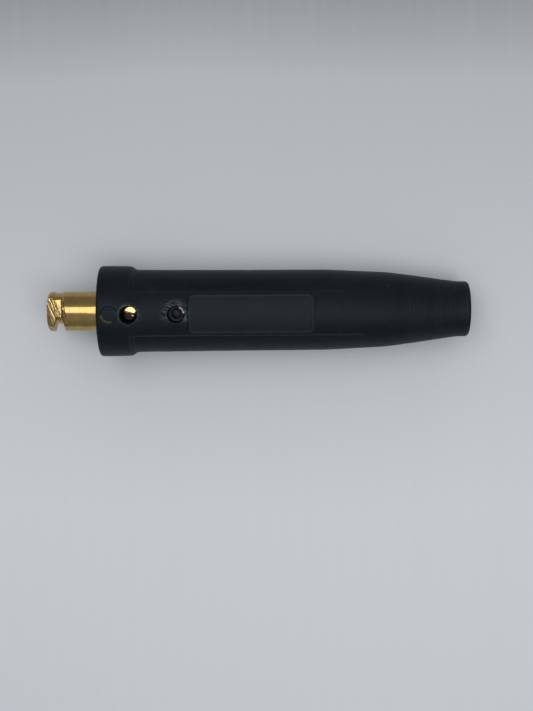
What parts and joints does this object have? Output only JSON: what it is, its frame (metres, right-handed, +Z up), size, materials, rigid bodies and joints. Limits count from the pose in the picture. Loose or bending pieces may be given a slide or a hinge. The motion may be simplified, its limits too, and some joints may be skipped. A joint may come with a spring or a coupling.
{
  "type": "male twist-lock welding cable connector",
  "caption": "Twist-lock cable connector plug: brass nose with a cam slot in a black rubber sleeve with a collar, two screw access holes and a tapered cable tail.",
  "frame": {"origin": "middle of the footprint, on the ground the connector lies on", "axes": "+X along the connector from the brass nose to the cable tail, +Z up, the way the two screw holes face, +Y across. The connector's own axis leans 1.38 degrees down towards +X, because its collar is thicker than its body and both touch the ground"},
  "size_m": [0.2026, 0.0438, 0.0437],
  "materials": {
    "rubber": "satin moulded black rubber",
    "brass": "turned and milled, bare",
    "screw_brass": "machined, bare",
    "black_steel": "black oxide on steel",
    "copper": "bare copper"
  },
  "bodies": {
    "connector_body": {"insulator_sleeve": "rubber", "plug_body": "brass", "retaining_screw": "screw_brass"},
    "shoe": {"clamp_shoe": "copper"},
    "screw": {"clamp_screw": "black_steel"}
  },
  "joints": [
    {"name": "clamp_travel", "type": "slide", "parent": "connector_body", "child": "shoe", "axis": [0.0241, 0, 0.9997], "range_m": [-0.0042, 0]},
    {"name": "clamp_turn", "type": "hinge", "parent": "shoe", "child": "screw", "pos_m": [-0.0385, 0, 0.03007], "axis": [0.0241, 0, 0.9997], "range_deg": [-952.5, 0]}
  ],
  "couplings": [
    {"joint": "clamp_turn", "follows": "clamp_travel", "rad_per_m": 3957.9}
  ]
}
